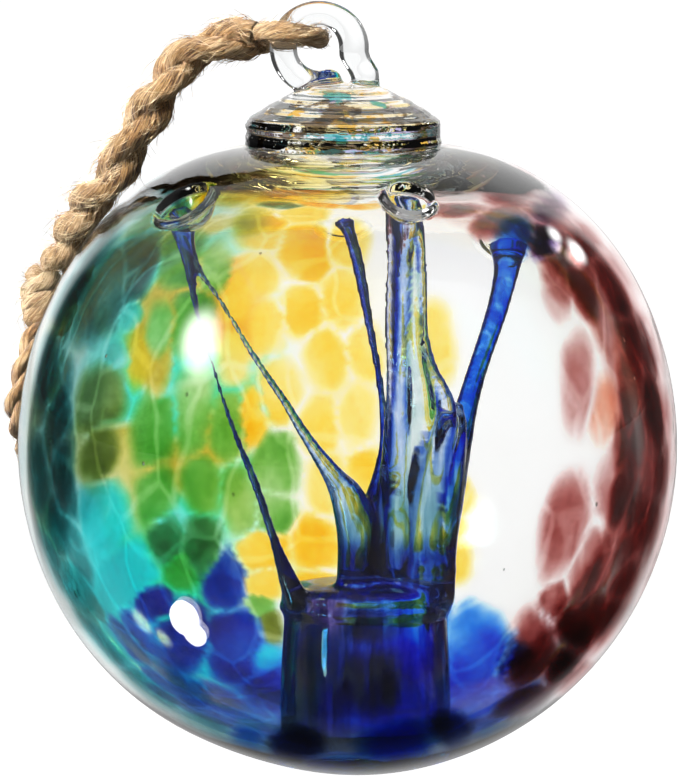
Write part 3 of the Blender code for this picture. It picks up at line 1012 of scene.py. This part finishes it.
# %% Painting the chips
noise.seed_set(4)  # noise_vector starts from a place of its own in each run otherwise
EDGE_FROM, EDGE_TO, VEIN = 1.26, 0.60, 0.36
FAR_SPREAD, JOINED_NEAR, JOINED_FAR, JOINED_MOST = 1.28, 0.10, 0.22, 0.75


def step(value, low, high):
    share = np.clip((value - low) / (high - low), 0, 1)
    return share * share * (3 - 2 * share)


def noise_at(ways, scale, shift):
    return np.array([noise.noise(Vector(way) * scale + Vector(shift)) for way in ways])


def soft_patch(across, up, *patch):
    """1 inside an oval patch, falling off softly at its edge."""
    return np.exp(-oval(across, up, *patch) ** 4)


def painted(ways):
    """For unit directions: how much of each light the wall takes out, and how full of chips it is."""
    ways = ways / np.linalg.norm(ways, axis=1)[:, None]
    wobble = np.array([noise.noise_vector(Vector(way) * 9.0) for way in ways])
    bent = ways + 0.016 * wobble
    bent /= np.linalg.norm(bent, axis=1)[:, None]
    across, up, near = seen_parts(bent)
    first, second = np.full(len(ways), 9.0), np.full(len(ways), 9.0)
    strength, colour = np.zeros(len(ways)), np.zeros((len(ways), 3))

    def lay(distance, chosen, its_colour, its_strength):
        nonlocal second
        was = first[chosen]
        closer = distance < was
        second[chosen] = np.where(closer, was, np.minimum(second[chosen], distance))
        wins = chosen[closer]
        first[wins] = distance[closer]
        strength[wins] = its_strength
        colour[wins] = TAKES[its_colour]

    for name, side, a, u, w, h, lean, its_strength in CHIPS:
        reach = 2.2 * max(w, h)
        chosen = np.nonzero((near == side) & (abs(across - a) < reach) & (abs(up - u) < reach))[0]
        lay(oval(across[chosen], up[chosen], a, u, w, h, lean), chosen, name, its_strength)
    for name, its_strength, way, w, h, lean in FILL_CHIPS:
        out = np.array(way)
        chosen = np.nonzero(bent @ out > 0.97)[0]
        east = np.array(Vector((0, 0, 1)).cross(way).normalized())
        north = np.cross(out, east)
        spots = bent[chosen]
        lay(oval(spots @ east * SKIN, spots @ north * SKIN, 0, 0, w, h, lean), chosen, name, its_strength)
    spread = np.where(near > 0, 1.0, FAR_SPREAD)
    joined = np.where(near > 0, JOINED_NEAR, JOINED_FAR) + 0.9 * noise_at(ways, 6.3, (9, 4, 2))
    joined = np.clip(joined, 0.0, JOINED_MOST)
    body = step(first, EDGE_FROM * spread, EDGE_TO * spread)
    body = body * (joined + (1 - joined) * step(second - first, 0.0, VEIN))
    cloud = noise_at(ways, 4.6, (3, 1, 7))
    strength = strength * np.clip(0.86 + 0.85 * cloud, 0.4, 1.3)
    taken = CHIP_DEPTH * colour * (strength * body)[:, None]
    for name, side, *patch, its_strength in WASHES:
        share = np.where(near == side, soft_patch(across, up, *patch), 0) * its_strength
        taken += share[:, None] * TAKES[name]
    for name, side, *patch, its_strength, sign in VEINS:
        share = np.where(near == side, soft_patch(across, up, *patch), 0) * its_strength
        share = share * (1 - body) * step(sign * cloud, -0.05, 0.16)
        taken += share[:, None] * TAKES[name]
    out, bearing = np.hypot(across, up), np.degrees(np.arctan2(up, across))
    # painted shade at the ball's edge as seen from the front, thinning at the very edge to a painted pale
    # band
    for name, start, end, inner, full, its_strength in RIMS_WITH_PAINTED_SHADE:
        from_middle = abs((bearing - (start + end) / 2 + 180) % 360 - 180)
        inside = step(from_middle, (end - start) / 2 + 4, (end - start) / 2 - 6)
        share = its_strength * step(out, inner, full) * inside * (0.3 + 0.7 * step(out, 71.8, 70.0))
        taken += (share * (0.35 + 0.65 * body))[:, None] * TAKES[name]
    return taken, body * np.minimum(1, strength)


# %% [markdown]
# ## The look of coloured glass
# Glass takes colour out of the light that goes through it, and a thicker or darker piece takes out
# more by a power, not by a share. So the shader raises the painted colour to a power. A wall that
# is seen edge-on is looked through slantwise, so its power is higher: Layer Weight measures that.
# Thin pale lines and a faint mottle break up the chips, as seed and cord do in real glass.


# %% Glass looks
def glass(name):
    look, tree, shader = coloured(name)
    return look, tree, put(shader, Base_Color=(1, 1, 1, 1), Roughness=0, IOR=1.5, Transmission_Weight=1)


def dyed(tree, shader, power):
    """The painted stain raised to a power; twice, because the shader takes a root of its colour."""
    gamma = node(tree, "Gamma")
    link(painted_on(tree, "stain"), gamma.inputs["Color"])
    link(times(power, 2.0), gamma.inputs["Gamma"])
    link(gamma.outputs[0], shader.inputs["Base Color"])


skin_glass, tree, shader = glass("skin glass")
link(painted_on(tree, "stain"), shader.inputs["Base Color"])

cap_glass, tree, shader = glass("cap glass")
place = own_place(tree)
in_cap = ramp(parts_of(place)[2], 0.1595, 0.1575)
tint = (0.95, 0.96, 0.96)
for scale, tall, start, fleck in (
    (90.0, 3.0, 0.51, (0.07, 0.045, 0.03)),
    (130.0, 1.3, 0.56, (0.85, 0.40, 0.04)),
    (115.0, 1.5, 0.57, (0.03, 0.30, 0.34)),
    (150.0, 1.5, 0.62, (0.30, 0.24, 0.60)),
):
    spots = speckle(place, tall, Scale=scale, Detail=4.0, Roughness=0.65)
    tint = mixed(times(ramp(spots, start, start + 0.04), in_cap), tint, fleck)
link(tint, shader.inputs["Base Color"])

wall_glass, tree, shader = glass("chip glass")
place = own_place(tree)
bend = node(tree, "TexNoise", Scale=55.0, Detail=1.0)
link(place, bend.inputs["Vector"])
shifted = node(tree, "VectorMath", operation="MULTIPLY_ADD")
link(bend.outputs["Color"], shifted.inputs[0])
shifted.inputs[1].default_value = (0.010, 0.010, 0.010)
link(place, shifted.inputs[2])
lines = node(tree, "TexVoronoi", feature="DISTANCE_TO_EDGE", Scale=62.0)
link(scaled(shifted.outputs[0], 1, 1, 0.5), lines.inputs["Vector"])
line = ramp(lines.outputs["Distance"], 0.012, 0.06, 0.62, 1.0)
mottle = ramp(speckle(place, Scale=420.0, Detail=3.0, Roughness=0.6), 0.3, 0.7, 0.90, 1.10)
drift = ramp(speckle(place, 0.45, Scale=95.0, Detail=2.0), 0.3, 0.7, 0.72, 1.28)
facing = node(tree, "LayerWeight", Blend=0.5).outputs["Facing"]
leaving = node(tree, "NewGeometry").outputs["Backfacing"]
slant = times(leaving, ramp(facing, 0.19, 0.236))
slant = maths("MINIMUM", maths("ADD", slant, ramp(facing, 0.50, 0.80)), 1.0)
dyed(tree, shader, times(line, mottle, drift, maths("MULTIPLY_ADD", slant, 0.3, 1.0)))

thread_glass, tree, shader = glass("thread glass")
place = own_place(tree)
drawn = ramp(speckle(place, 0.07, Scale=560.0, Detail=2.0), 0.36, 0.62, 0.45, 1.25)
folds = ramp(speckle(place, 0.35, Scale=120.0, Detail=2.0), 0.35, 0.65, 0.8, 1.2)
dyed(tree, shader, times(drawn, folds))

# %% The cavity
cavity_bm = ball_surface(
    7, (0.17,), lambda way: outer_radius(way) - wall(way), CAVITY_PIT_MOUTH, CAVITY_PIT_DEPTH, 0.04,
    relief=lambda ways: painted(ways)[1],
)
cavity = to_object("cavity", cavity_bm, (wall_glass, thread_glass))
print("cavity faces", len(cavity.data.polygons))

# %% [markdown]
# ## Threads
# The threads are what makes a witch ball: they are solid glass rods, pulled from the stump to the
# wall while the ball is hot. Each is a route of four numbers as seen from the front: across, up,
# near and radius, in millimetres. They melt together at the trunk, which a voxel remesh and
# some relaxing do, and then they are cut out of the cavity, so that their skin is its wall.

# %% The threads' routes
THREADS = {
    "far left": [
        (-37.5, 52, 31, 4), (-37, 49.5, 29.5, 2.6), (-35.8, 42.6, 28, 1.5), (-34.4, 33.9, 25.5, 1),
        (-32.6, 25.8, 23, 0.75), (-30.5, 18.9, 21, 0.65), (-28, 10.8, 18.5, 0.75), (-24.8, 1.6, 15.5, 0.9),
        (-22, -5.3, 13, 1.1), (-19.5, -12.2, 11, 1.15), (-16.5, -21.4, 8.5, 1.3), (-13.7, -29.5, 7, 2.2),
        (-10.9, -36.5, 5, 3.5),
    ],
    "near left": [
        (-36, 50, 29.5, 2.5), (-35.1, 45.4, 28.5, 1.3), (-32.8, 39.6, 27, 0.9), (-28.9, 33.9, 25, 0.75),
        (-25.4, 28.1, 23, 0.8), (-22, 22.3, 21, 0.9), (-17.8, 15.9, 18.5, 1), (-13.9, 10.1, 16, 1.15),
        (-10.2, 3.9, 13.5, 1.4), (-6.8, -1.2, 11, 1.8), (-3, -6.6, 8.5, 2.6), (0.5, -12.2, 6, 4.2),
        (2, -19.5, 4, 4.4), (2, -27, 3, 4.3), (2, -36, 3, 5),
    ],
    "back": [
        (-0.5, 58, -31.5, 3), (0.5, 55, -29.5, 1.9), (2, 48, -26, 1.7), (3.8, 38, -22, 1.5),
        (5.5, 28, -18, 1.25), (7.3, 18, -13.5, 1.1), (8.6, 8, -8, 1.2), (9, 0, -4, 1.7), (8.4, -8, -1, 3),
        (7.6, -14, 0, 4), (7.4, -27, 0, 4.4), (7.4, -36, 0, 4.4),
    ],
    "middle one": [
        (9.9, 56.5, 30.5, 1.5), (9.6, 54, 28.8, 1.3), (9.6, 44, 24, 1), (9.6, 30, 18, 1.1),
        (9.8, 12, 10, 1.2), (9.8, 0, 5, 1.8), (9.4, -14, 3, 2.6), (8.8, -27, 1, 2.8),
    ],
    "middle two": [
        (13.9, 55.5, 31.2, 3.2), (13.6, 52.5, 29.4, 3), (13.2, 48, 27, 2.1), (12.8, 42, 24.5, 1.5),
        (12.6, 30, 19.5, 1.45), (12.2, 14, 11, 1.7), (12, 4, 7, 2.7), (12.2, -6, 4, 3.8),
        (12.2, -14, 3, 4.2), (12, -28, 1, 4.6),
    ],
    "near right": [
        (14.8, 55, 31, 2.2), (15.2, 52, 28.8, 1.9), (16.6, 46, 26, 1.3), (17.2, 36, 21.5, 1.1),
        (17.6, 26, 17, 1.2), (19.2, 18.5, 13, 1.5), (21.6, 13, 9.5, 2), (22.6, 8, 6, 2.9),
        (20.5, 0, 3, 4.4), (18.8, -12, 1, 5.6), (18, -24, 0, 6.2), (18.4, -28.5, 0, 7.2), (18, -31, 0, 6),
        (18, -33, 0, 6.6), (18, -36, 0, 6.5),
    ],
    "web": [
        (14.6, 46, 26, 0.9), (15, 38, 22.5, 1.15), (15.1, 30, 18.8, 1.4), (15.6, 21, 14.2, 2.1),
        (16.8, 13, 10, 3.1), (17, 6, 6.5, 3.6), (16, -2, 4.5, 4), (15.6, -10, 3, 4.6), (15, -20, 1, 5),
        (15, -36, 0, 5),
    ],
    "right web": [
        (25.2, 10.5, 0, 1.6), (24.4, 5, 0, 3.4), (22.6, -6, 0, 4.6), (20.5, -24, 0, 5), (20, -36, 0, 5),
    ],
    "far right": [
        (38.3, 49.5, -29.5, 5), (38.2, 46, -27.5, 3.9), (37.6, 41, -25, 3.1), (35.6, 33, -21, 2.7),
        (33, 25, -17, 2.5), (30.2, 17, -12.5, 2.5), (27.8, 9, -8, 2.8), (25.6, 0, -4, 3.4),
        (23, -12, -1.5, 4.2), (20.3, -26, 0, 4.6), (19, -36, 0, 5),
    ],
}
# each thread's dye, and how strong it is on its left edge, in its core and on its right edge; the
# stronger edges are painted shade, the dark edges that a glass rod shows
THREAD_DYES_AND_EDGE_SHADE = {
    "far left": ("cobalt", 1.0, 0.40, 0.8),
    "near left": ("cobalt", 0.7, 0.07, 0.55),
    "back": ("cobalt", 1.8, 0.5, 0.7),
    "middle one": ("navy", 0.7, 0.06, 0.55),
    "middle two": ("cobalt", 0.8, 0.08, 0.35),
    "web": ("teal", 0.2, 0.05, 0.1),
    "right web": ("cobalt", 0.2, 0.05, 0.7),
    "near right": ("cobalt", 0.5, 0.04, 0.7),
    "far right": ("blue", 1.1, 0.42, 0.8),
}
STUMP_PROFILE = [
    (0, -4), (17.5, -3.9), (18.5, 0), (19.8, 6), (20, 14), (19.6, 24), (19, 33), (18.9, 36), (20.3, 38.2),
    (19.2, 40), (19.9, 41.6), (18, 43.2), (13, 44), (0, 44.2),
]
STUMP_FLAT, STUMP_ACROSS = 0.75, 4.4
threads_bm = bmesh.new()
samples, sample_dyes_and_edge_shades = [], []
for name, points in THREADS.items():
    placed = [(*seen(across, up, near), radius * MM) for across, up, near, radius in points]
    line = smooth_route(placed, 2 * MM)
    absorb(threads_bm, rod(line))
    samples += [tuple(point) for point in line]
    sample_dyes_and_edge_shades += [THREAD_DYES_AND_EDGE_SHADE[name]] * len(line)
stump_bm = spun([(radius * MM, height * MM) for radius, height in STUMP_PROFILE], 48)
for vert in stump_bm.verts:
    vert.co.y *= STUMP_FLAT
    vert.co.x += STUMP_ACROSS * MM
absorb(threads_bm, stump_bm)
threads = to_object("threads", threads_bm, (thread_glass,))
melt(threads, 0.86, 0.6, 5)
print("threads faces", len(threads.data.polygons))
combine(cavity, threads, "DIFFERENCE")
print("cavity less threads", len(cavity.data.polygons))

# %% [markdown]
# ## Painting the stain
# Every corner of the cavity's wall gets its colour from the chips. A corner on a thread finds the
# nearest thread instead, and takes that thread's dye for its edge or its core; the darker edges, left
# and right as seen from the front, are painted shade. The stump gets broad patches of its own: near
# black on the left, cobalt on the right.

# %% The stain
STUMP_PATCHES = [  # dye, across, up, half width, half height, strength
    ("blue", 12, -52, 12, 22, 0.85),
    ("violet", -4, -52, 5.5, 22, 0.75),
    ("navy", -12, -52, 5.0, 22, 0.8),
    ("navy", 5.2, -41, 4.2, 4.0, 0.7),
    ("navy", 5.8, -54, 5.2, 7.5, 0.8),
    ("cobalt", 20, -52, 4, 20, 0.6),
]
STUMP_TOP = -33.5
# the colour lies between the two skins, so the outer one gets some of it too
INNER_SHARE, OUTER_SHARE = 0.82, 0.3


def corner_places(mesh):
    places = np.empty(len(mesh.vertices) * 3, np.float32)
    mesh.vertices.foreach_get("co", places)
    return places.reshape(-1, 3).astype(float)


def stain_mesh(mesh, taken):
    rgba = np.ones((len(taken), 4), np.float32)
    rgba[:, :3] = np.exp(-taken)
    stain = mesh.attributes.new("stain", "FLOAT_COLOR", "POINT")
    stain.data.foreach_set("color", rgba.ravel())


places = corner_places(cavity.data)
count = len(places)
taken, _ = painted(places - np.array(CENTRE))
taken += TAKES["clear"]
on_thread = np.zeros(count, bool)
for polygon in cavity.data.polygons:
    if polygon.material_index == 1:
        on_thread[list(polygon.vertices)] = True
lines, radii = np.array(samples)[:, :3], np.array(samples)[:, 3]
thread_list = np.nonzero(on_thread)[0]
spots = places[thread_list]
gaps = np.linalg.norm(spots[:, None] - lines[None], axis=2) - radii[None]
nearest = gaps.argmin(axis=1)
sideways = (spots[:, 0] - lines[nearest, 0]) / radii[nearest]
from_centre = spots - np.array(CENTRE)
across, up = from_centre[:, 0] / MM, from_centre @ UP_ARRAY / MM
dyes_and_edge_shades = [sample_dyes_and_edge_shades[i] for i in nearest]
left, core, right = (np.array([dye[k] for dye in dyes_and_edge_shades]) for k in (1, 2, 3))
# the core has the thread's dye; the stronger left and right edges, as seen from the front, are painted
# shade
dye_and_edge_shade = core + left * step(-sideways, 0.25, 0.95) + right * step(sideways, 0.25, 0.95)
thread_taken = dye_and_edge_shade[:, None] * np.array([TAKES[dye[0]] for dye in dyes_and_edge_shades])
thread_taken += (0.20 * step(up, 4, -20))[:, None] * TAKES["teal"]
thread_taken += (0.55 * step(up, -19, -28))[:, None] * TAKES["cobalt"]
stump_taken = np.zeros_like(thread_taken)
for name, *patch, strength in STUMP_PATCHES:
    share = strength * soft_patch(across, up, *patch)
    stump_taken += share[:, None] * TAKES[name]
in_stump = step(up, STUMP_TOP + 1.5, STUMP_TOP - 1.5)[:, None]
taken[thread_list] = thread_taken * (1 - in_stump) + stump_taken * in_stump + 0.01
taken[~on_thread] *= INNER_SHARE
stain_mesh(cavity.data, taken)
cavity.data.flip_normals()
print("corners on threads", len(thread_list), "of", count)

# %% [markdown]
# ## The cap and its loop
# The cap is a gob of clear glass laid over the blowing hole and pressed to a flat cone. The tool
# leaves fine ridges round it. The loop is a rod bent to a ring, its tail curled under. The cap is
# turned from a profile, the loop is a rod along its ring, and a voxel remesh melts them into one.

# %% The cap and its loop
CAP_X = -1.0
CAP_PROFILE = [
    (0, 159.4), (3, 159.3), (6, 158.9), (8.5, 158.4), (11, 157.3), (14, 155.9), (17, 154.2), (20, 152.3),
    (21.6, 151.3), (22.3, 150.2), (22.4, 149.2), (22.1, 148.2), (22.3, 147), (22.6, 146), (22.4, 144.8),
    (21.5, 143.4), (12, 141), (0, 140.5),
]
LOOP_CENTRE = Vector((-6.6, 0.0, 167.3))
LOOP_RADIUS, LOOP_TAIL, LOOP_FOOT, LOOP_STEPS = 8.1, 288, -8, 40
ROD_LEFT, ROD_TOP, ROD_RIGHT, ROD_TAIL = 3.2, 2.8, 3.5, 3.0


def loop_rod_radius(angle):
    side = math.cos(angle)
    across = ROD_RIGHT if side > 0 else ROD_LEFT
    upright = ROD_TOP if math.sin(angle) > 0 else ROD_TAIL
    return across * side**2 + upright * (1 - side**2)


loop_points = []
for i in range(LOOP_STEPS + 1):
    angle = math.radians(LOOP_TAIL + (LOOP_FOOT - LOOP_TAIL) * i / LOOP_STEPS)
    reach = Vector((math.cos(angle), 0, math.sin(angle)))
    loop_points.append(Vector((*(LOOP_CENTRE + LOOP_RADIUS * reach), loop_rod_radius(angle))) * MM)
tail, along = loop_points[0], (loop_points[0] - loop_points[1]).xyz.normalized()
for bend in (0.5, 0.9, 1.25):
    end = tail.xyz + along * ROD_TAIL * MM * math.sin(bend)
    loop_points.insert(0, Vector((*end, ROD_TAIL * MM * math.cos(bend))))
for x, z, radius in ((2.6, 163.7, 3.1), (4.1, 161.1, 3.3), (4.3, 159.0, 3.1), (3.6, 155.8, 3.4)):
    loop_points.append(Vector((x, 0, z, radius)) * MM)
cap_bm = rod(loop_points, 24)
mound = spun([(radius * MM, height * MM) for radius, height in CAP_PROFILE], 72)
bmesh.ops.translate(mound, vec=(CAP_X * MM, 0, 0), verts=mound.verts)
absorb(cap_bm, mound)
cap = to_object("cap", cap_bm, (cap_glass,))
melt(cap, 0.62, 0.5, 3)
RIDGE_HEIGHT, RIDGES_PER_MM = 0.10, 0.42
for vert in cap.data.vertices:
    at = vert.co / MM
    out = math.hypot(at.x - CAP_X, at.y)
    if 143.5 < at.z < 158.8 and out > 6:
        turn = math.atan2(at.y, at.x - CAP_X)
        wave = math.sin(2 * math.pi * (at.z * RIDGES_PER_MM + 0.5 * turn / math.pi))
        wave += 0.6 * math.sin(2 * math.pi * at.z * 1.15) + 0.9 * noise.noise(at * 0.28)
        vert.co += Vector((math.cos(turn), math.sin(turn), 0.5)) * RIDGE_HEIGHT * MM * wave
print("cap faces", len(cap.data.polygons))

# %% [markdown]
# ## One piece of glass
# The cap is melted to the ball, so the outer skin is the ball and the cap joined. The cavity's
# wall and the outer skin then become one mesh, because they are the two sides of one piece of
# glass. A few bubbles are sealed in the wall: they are small hollows, so they face inwards too.

# %% The outer skin, the cavity and the bubbles
BUBBLES = [  # across, up, side, radius
    (-64.9, 1.6, 1, 0.75), (62.5, 15.4, 1, 0.6), (60.0, 23.7, 1, 0.7), (-59.5, -32.0, 1, 0.8),
    (-56.8, -35.5, 1, 0.55), (-27.0, -12.0, -1, 0.4), (-52.0, 20.0, 1, 0.4), (-20.0, 47.0, -1, 0.4),
    (38.0, -30.0, -1, 0.35), (12.0, 20.0, -1, 0.35), (-44.0, -3.0, 1, 0.4), (54.0, -12.0, 1, 0.4),
    (-38.0, 12.0, -1, 0.45), (30.0, 60.0, 1, 0.6), (-66.0, -22.0, 1, 0.5),
]
outside_bm = ball_surface(6, (0.24, 0.17), outer_radius, PIT_MOUTH, PIT_DEPTH, 0.03)
outside = to_object("witch_ball_glass", outside_bm)
outside.data.materials.append(skin_glass)
outside.data.materials.append(cap_glass)
combine(outside, cap, "UNION")
print("outer skin faces", len(outside.data.polygons))
ways = corner_places(outside.data) - np.array(CENTRE)
taken, _ = painted(ways)
across, up, _ = seen_parts(ways / np.linalg.norm(ways, axis=1)[:, None])
# painted light: the outer skin's colour thins to a paler band at the ball's very edge as seen from the
# front
share = OUTER_SHARE * (0.3 + 0.7 * step(np.hypot(across, up), 71.4, 69.6))
stain_mesh(outside.data, 2 * share[:, None] * taken + 0.02)
glass_bm = bmesh.new()
glass_bm.from_mesh(outside.data)
bubble_bm = bmesh.new()
glass_bm.faces.ensure_lookup_table()
print("cap faces in the skin", sum(face.material_index == 1 for face in glass_bm.faces))
for across, up, side, radius in BUBBLES:
    way = (seen_on_wall(across, up, side, SKIN) - CENTRE).normalized()
    place = CENTRE + way * (outer_radius(way) - 0.5 * wall(way))
    turned = way.to_track_quat("Z", "Y").to_matrix().to_4x4() @ Matrix.Diagonal((0.8, 1.25, 0.6, 1))
    put_at = Matrix.Translation(place) @ turned
    bmesh.ops.create_uvsphere(
        bubble_bm, u_segments=14, v_segments=8, radius=radius * MM, matrix=put_at
    )
bmesh.ops.reverse_faces(bubble_bm, faces=bubble_bm.faces)
absorb(glass_bm, bubble_bm)
outer_faces = len(glass_bm.faces)
glass_bm.from_mesh(cavity.data)
for i, face in enumerate(glass_bm.faces):
    face.material_index += 2 if i >= outer_faces else 0
    face.smooth = True
glass_bm.to_mesh(outside.data)
glass_bm.free()
outside.data.materials.append(wall_glass)
outside.data.materials.append(thread_glass)
bpy.data.objects.remove(cavity)
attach(outside, "root")
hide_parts("glass_ball")
triangles = sum(len(polygon.vertices) - 2 for polygon in outside.data.polygons)
print("glass triangles", triangles)
